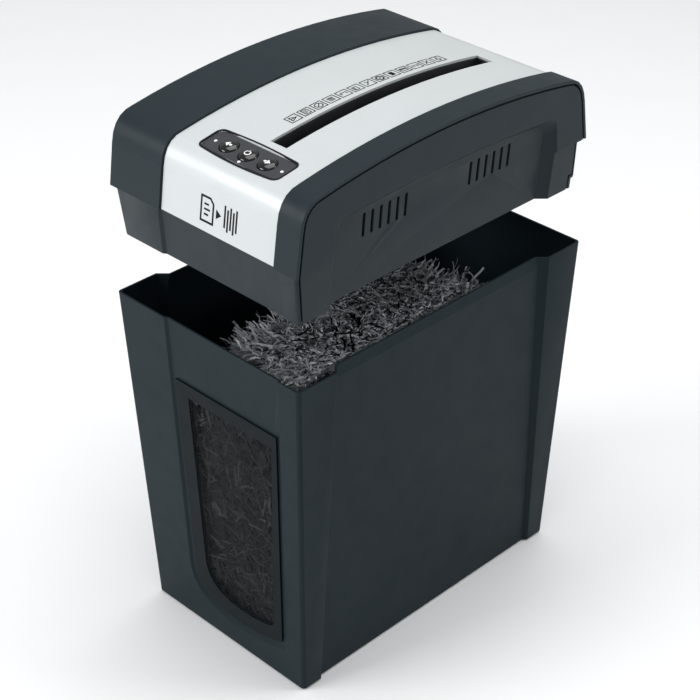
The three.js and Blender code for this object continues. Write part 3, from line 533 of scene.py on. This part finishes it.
def cutter_roll(node, body):
    """A steel roll: pairs of thin toothed discs, each turned a little from the last."""
    low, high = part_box(node)
    middle = (low + high) / 2
    full = (high.x - low.x) / 2
    disc_share, second_at, twist, teeth = 0.46, 0.54, 0.14, 9
    hook = ((0.0, 1.0), (0.12, 0.985), (0.2, 0.86), (0.62, 0.9))  # share of a pitch, share of the radius

    def tooth_ring(y, turn):
        ring = []
        for i in range(teeth):
            for part, share in hook:
                a = 2 * math.pi * (i + part) / teeth + turn
                x, z = full * share * math.cos(a), full * share * math.sin(a)
                ring.append(shape.verts.new((middle.x + x, y, middle.z + z)))
        return ring

    shape = bmesh.new()
    edge_y = set()
    for vertex in frame["nodes"][node].data.vertices:
        x, y, z = vertex.co
        if math.hypot(x - middle.x, z - middle.z) > 0.95 * full:
            edge_y.add(round(y, 5))
    edge_y = sorted(edge_y)
    discs = list(zip(edge_y[::2], edge_y[1::2]))
    for k, (a, b) in enumerate(discs):
        for half in (0, 1):
            y = a + half * (b - a) * second_at
            turn = twist * (2 * k + half)
            one, two = tooth_ring(y, turn), tooth_ring(y + (b - a) * disc_share, turn)
            count = len(one)
            shape.faces.new(one)
            shape.faces.new(reversed(two))
            for i in range(count):
                shape.faces.new((one[i], two[i], two[(i + 1) % count], one[(i + 1) % count]))
    name = node + "_discs"
    add_piece(name, finish_mesh(name, shape), body, LOOKS["cutter_steel"], "cutter_steel", [node])

    core, journal, beyond = 12 * MM, 5.0 * MM, 2 * MM
    first, last = discs[0][0] - beyond, discs[-1][1] + beyond
    profile = [(journal, low.y), (journal, first), (core, first)]
    profile += [(core, last), (journal, last), (journal, high.y)]
    shape = bmesh.new()
    lathe(shape, profile, 32, lambda u, v, y: Vector((middle.x + u, y, middle.z + v)))
    name = node + "_core"
    piece = add_piece(name, finish_mesh(name, shape), body, LOOKS["cutter_steel"], "cutter_steel", [node])
    soften(piece)


for node in ("cutter_a", "cutter_b"):
    cutter_roll(node, node)


def bend(start, pull, end, steps=6):
    """Points after start on a quadratic curve to end."""
    a, b, c = Vector(start), Vector(pull), Vector(end)
    shares = (k / steps for k in range(1, steps + 1))
    return [a * (1 - t) ** 2 + b * 2 * t * (1 - t) + c * t * t for t in shares]


def pane_outline():
    """The window's edge in mm, straight at the top and sides and bellied below."""
    points = [Vector((75.7, 248.4)), Vector((-40.5, 248.4)), Vector((-37.0, 58))]
    points += bend((-37, 58), (-36, 34), (4, 28.5), 8) + bend((4, 28.5), (38, 27), (65.7, 38), 8)
    return points + bend((65.7, 38), (67.7, 39), (67.7, 46), 5)


def hole_outline():
    """The edge of the opening behind the window, in mm."""
    points = [Vector((69.5, 236)), Vector((-26, 236)), Vector((-22.5, 74))]
    points += bend((-22.5, 74), (-21, 49), (8, 44.5), 8) + bend((8, 44.5), (40, 42), (56, 50), 8)
    return points + bend((56, 50), (58.5, 52), (58.5, 58), 4)


PANE_BACK, PANE_LEAN, PANE_THICK = 147.5, 0.0364, 1.3


def pane_sheet(u, v, h):
    """h runs from 0 at the back of the pane to 1 at its front."""
    return Vector((u, -(PANE_BACK + PANE_LEAN * v + PANE_THICK * h), v)) * MM


def pane_part(name, loops, material):
    """A closed slab of the window between its loops, or inside a single one."""
    shape = bmesh.new()
    edges = []
    for loop in loops:
        around = [shape.verts.new((p.x, p.y, 0)) for p in loop]
        edges += [shape.edges.new((a, b)) for a, b in zip(around, around[1:] + around[:1])]
    filled = bmesh.ops.triangle_fill(shape, use_beauty=True, edges=edges)["geom"]
    faces = [part for part in filled if isinstance(part, bmesh.types.BMFace)]
    raised = bmesh.ops.extrude_face_region(shape, geom=faces, use_keep_orig=True)["geom"]
    for part in raised:
        if isinstance(part, bmesh.types.BMVert):
            part.co.z = 1
    for vertex in shape.verts:
        vertex.co = pane_sheet(*vertex.co)
    piece = add_piece(name, finish_mesh(name, shape), "bin", material, "window_smoke", ["window_pane"])
    soften(piece, 30)
    bevel = piece.modifiers.new("rounded_edges", "BEVEL")
    bevel.width = 0.25 * MM
    bevel.segments = 2
    bevel.limit_method = "ANGLE"


SEAM = 0.15
hole = hole_outline()
hole_middle = sum(hole, Vector((0, 0))) / len(hole)
clear = [p + (hole_middle - p).normalized() * SEAM for p in hole]
pane_part("window_border", [pane_outline(), hole], PANE_BORDER)
pane_part("window_clear", [clear], LOOKS["window_smoke"])

# ---- shreds ------------------------------------------------------------------------------------

# The heap's outline seen from above, in mm, and its heights: level inside, and falling away outside.
HEAP_EDGE = [(19, -160), (9, -69), (-1, 8), (10, 43), (120, 62), (120, -160)]
HEAP_LEVEL, HEAP_SWELL, HEAP_LUMPS, HEAP_LEAST = 281, 10, 6, 150
BIN_RIM, BIN_BOTTOM = 302, 6.5
dice = random.Random(41)


def side_of_heap(x, y):
    """Distance in mm to the heap's outline, positive inside it."""
    inside, nearest = False, 1e9
    for i, (x0, y0) in enumerate(HEAP_EDGE):
        x1, y1 = HEAP_EDGE[(i + 1) % len(HEAP_EDGE)]
        along = Vector((x1 - x0, y1 - y0))
        t = max(0, min(1, Vector((x - x0, y - y0)).dot(along) / along.length_squared))
        nearest = min(nearest, math.hypot(x - x0 - t * along.x, y - y0 - t * along.y))
        if (y0 > y) != (y1 > y) and x < x0 + (y - y0) * (x1 - x0) / (y1 - y0):
            inside = not inside
    return nearest if inside else -nearest


def heap_top(x, y):
    """The height of the shreds at a place, in mm."""
    edge = side_of_heap(x, y)
    height = HEAP_LEVEL + (min(HEAP_SWELL, 0.35 * edge) if edge > 0 else edge)
    lumps = noise.noise(Vector((x * 0.045, y * 0.045, 3.1))) * HEAP_LUMPS
    return max(HEAP_LEAST, height + lumps)


def bin_reach(z):
    """Half width, front and rear of the room in the bin at a height, in mm."""
    t = z / BIN_RIM
    return 84 + 4.5 * t, -(142.8 + 10.2 * t), 142 + 5 * t


def in_bin(point):
    """A point in mm, moved just far enough to lie inside the bin's walls."""
    z = max(BIN_BOTTOM, min(BIN_RIM - 2.5, point.z))
    half, front, rear = bin_reach(z)
    return Vector((max(-half, min(half, point.x)), max(front, min(rear, point.y)), z))


def shred_mass():
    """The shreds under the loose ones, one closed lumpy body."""
    shape = bmesh.new()
    across, deep = 34, 58
    side_gap, front_gap, under_top, height_guess = 1.5, 2.0, 3, 270

    def place(u, v, z, gap, ahead):
        half, front, rear = bin_reach(z)
        half, front, rear = half - gap, front + ahead, rear - gap
        return -half + 2 * half * u, front + (rear - front) * v

    tops, feet = [], []
    for i in range(across + 1):
        for k in range(deep + 1):
            u, v = i / across, k / deep
            h = heap_top(*place(u, v, height_guess, 0, 0))
            x, y = place(u, v, h, side_gap, front_gap)
            tops.append(shape.verts.new(Vector((x, y, h - under_top)) * MM))
            x, y = place(u, v, 6, side_gap, front_gap)
            feet.append(shape.verts.new(Vector((x, y, BIN_BOTTOM)) * MM))
    row = deep + 1
    for i in range(across):
        for k in range(deep):
            a = i * row + k
            shape.faces.new((tops[a], tops[a + row], tops[a + row + 1], tops[a + 1]))
            shape.faces.new((feet[a], feet[a + 1], feet[a + row + 1], feet[a + row]))
    rim = [i * row for i in range(across)] + [across * row + k for k in range(deep)]
    rim += [i * row + deep for i in range(across, 0, -1)] + list(range(deep, 0, -1))
    for a, b in zip(rim, rim[1:] + rim[:1]):
        shape.faces.new((tops[b], tops[a], feet[a], feet[b]))
    return finish_mesh("shred_mass", shape)


def shred(shape, tone_and_shade, start, heading, normal, length, width, curl, darkest=0.32, lightest=0.9):
    """One curled and creased strip of paper, closed all round."""
    value = dice.uniform(darkest, lightest)
    half_thick, crease_depth = 0.11, 0.35
    step = length / 6
    place, rings = start.copy(), []
    for i in range(7):
        wide = heading.cross(normal).normalized() * width / 2
        thick = normal * half_thick
        crease = normal * (crease_depth if i % 2 else -crease_depth)
        ring = []
        for side, face in ((1, 1), (-1, 1), (-1, -1), (1, -1)):
            vertex = shape.verts.new(in_bin(place + crease + wide * side + thick * face) * MM)
            vertex[tone_and_shade] = value
            ring.append(vertex)
        rings.append(ring)
        place = place + heading * step
        swing = Matrix.Rotation(curl + dice.uniform(-0.14, 0.14), 3, wide.normalized())
        heading = (swing @ heading).normalized()
        normal = (swing @ normal).normalized()
    for one, two in zip(rings, rings[1:]):
        for k in range(4):
            shape.faces.new((one[k], two[k], two[(k + 1) % 4], one[(k + 1) % 4]))
    shape.faces.new(rings[0])
    shape.faces.new(reversed(rings[-1]))


def across_heading(heading, lean):
    """The strip's face direction: square to its heading, turned by lean."""
    normal = heading.cross(Vector(lean).cross(heading)).normalized()
    return heading.cross(normal).normalized()


def loose_shreds():
    """Loose strips over the heap, then strips pressed up behind the window, given a darker grey range as
    painted shade.
    """
    shape = bmesh.new()
    tone_and_shade = shape.verts.layers.float.new("tone_and_shade")
    on_top, behind_window = ((5200, 1500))
    made = 0
    while made < on_top:
        half, front, rear = bin_reach(275)
        x, y = dice.uniform(-half, half), dice.uniform(front, rear)
        if side_of_heap(x, y) < -20 and dice.random() < 0.75:
            continue
        turn = dice.uniform(0, 2 * math.pi)
        pitch = dice.gauss(0.1, 0.4)
        flat = math.cos(pitch)
        heading = Vector((math.cos(turn) * flat, math.sin(turn) * flat, math.sin(pitch)))
        normal = across_heading(heading, (dice.gauss(0, 0.4), dice.gauss(0, 0.4), 1))
        start = Vector((x, y, heap_top(x, y) + dice.uniform(-2, 7)))
        length, width, curl = dice.uniform(12, 30), dice.uniform(1.2, 2.1), dice.gauss(0, 0.1)
        shred(shape, tone_and_shade, start, heading, normal, length, width, curl)
        made += 1
    low, high = PANE_LOW / MM, PANE_HIGH / MM
    for _ in range(behind_window):
        z = dice.uniform(low.z + 6, high.z)
        x = dice.uniform(low.x, high.x)
        front = bin_reach(z)[1]
        turn = dice.uniform(0, 2 * math.pi)
        heading = Vector((math.cos(turn), dice.gauss(0.05, 0.16), math.sin(turn))).normalized()
        normal = across_heading(heading, (dice.gauss(0, 0.5), 1, dice.gauss(0, 0.5)))
        if z > heap_top(x, front) - 2:
            continue
        start = Vector((x, front + dice.uniform(0.2, 3.5), z))
        length, width, curl = dice.uniform(9, 22), dice.uniform(1.3, 2.2), dice.gauss(0, 0.12)
        # Painted shade: the strips behind the window take greys from 0.0 to 0.27, darker than the 0.32 to 0.9
        # on top, to stand in for the shade inside the bin.
        shred(shape, tone_and_shade, start, heading, normal, length, width, curl, 0.0, 0.27)
    return finish_mesh("loose_shreds", shape)


for name, mesh in (("shred_mass", shred_mass()), ("loose_shreds", loose_shreds())):
    heap = add_piece(name, mesh, "bin", SHRED_PAPER, "inner_plastic")
    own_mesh(heap)

# ---- stage -------------------------------------------------------------------------------------

floor_mesh = bpy.data.meshes.new("floor")
floor_shape = bmesh.new()
bmesh.ops.create_grid(floor_shape, x_segments=8, y_segments=8, size=6)
floor_shape.to_mesh(floor_mesh)
floor_shape.free()
floor = bpy.data.objects.new("floor", floor_mesh)
bpy.context.scene.collection.objects.link(floor)
floor_paint = moulded("floor_paint", tone(244, 245, 246), 0.6, grain=300, depth=0.01, mottle=0.005)
floor.data.materials.append(floor_paint)

world = bpy.data.worlds.new("studio")
bpy.context.scene.world = world
world.use_nodes = True
sky = world.node_tree.nodes["Background"]
sky.inputs["Color"].default_value = (1, 1, 1, 1)
sky.inputs["Strength"].default_value = 0.4


def softbox(name, place, target, size, watts):
    light = bpy.data.lights.new(name, "AREA")
    light.shape = "RECTANGLE"
    light.size, light.size_y = size
    light.energy = watts
    lamp = bpy.data.objects.new(name, light)
    lamp.location = place
    aim = Vector(target) - Vector(place)
    lamp.rotation_euler = aim.to_track_quat("-Z", "Y").to_euler()
    bpy.context.scene.collection.objects.link(lamp)


softbox("key_front_left", (-1.1, -2.3, 1.3), (0, 0, 0.25), (1.6, 1.2), 50)
softbox("top", (0.1, 0.3, 2.6), (0, 0, 0.3), (2.2, 2.2), 44)
softbox("rear_right", (1.2, 0.9, 1.0), (0.1, 0.1, 0.42), (0.5, 0.6), 6)

AZIMUTH, ELEVATION, ROLL = (math.radians(a) for a in (45.15, 31.99, -0.16))
back = Vector((
    math.sin(AZIMUTH) * math.cos(ELEVATION),
    -math.cos(AZIMUTH) * math.cos(ELEVATION),
    math.sin(ELEVATION),
))
level = Vector((math.cos(AZIMUTH), math.sin(AZIMUTH), 0))
upright = back.cross(level)
right = math.cos(ROLL) * level + math.sin(ROLL) * upright
up = -math.sin(ROLL) * level + math.cos(ROLL) * upright
lens = bpy.data.cameras.new("camera")
lens.sensor_width = 36
lens.lens = 96.77
lens.shift_x, lens.shift_y = -0.00566, -0.0218
lens.clip_start = 0.05
camera = bpy.data.objects.new("camera", lens)
LOOK_AT, DISTANCE = Vector((0, 0, 0.2366)), 1.5511
eye = LOOK_AT + back * DISTANCE
camera.matrix_world = Matrix.Translation(eye) @ Matrix((right, up, back)).transposed().to_4x4()
bpy.context.scene.collection.objects.link(camera)
bpy.context.scene.camera = camera
bpy.context.scene.view_settings.view_transform = "Standard"
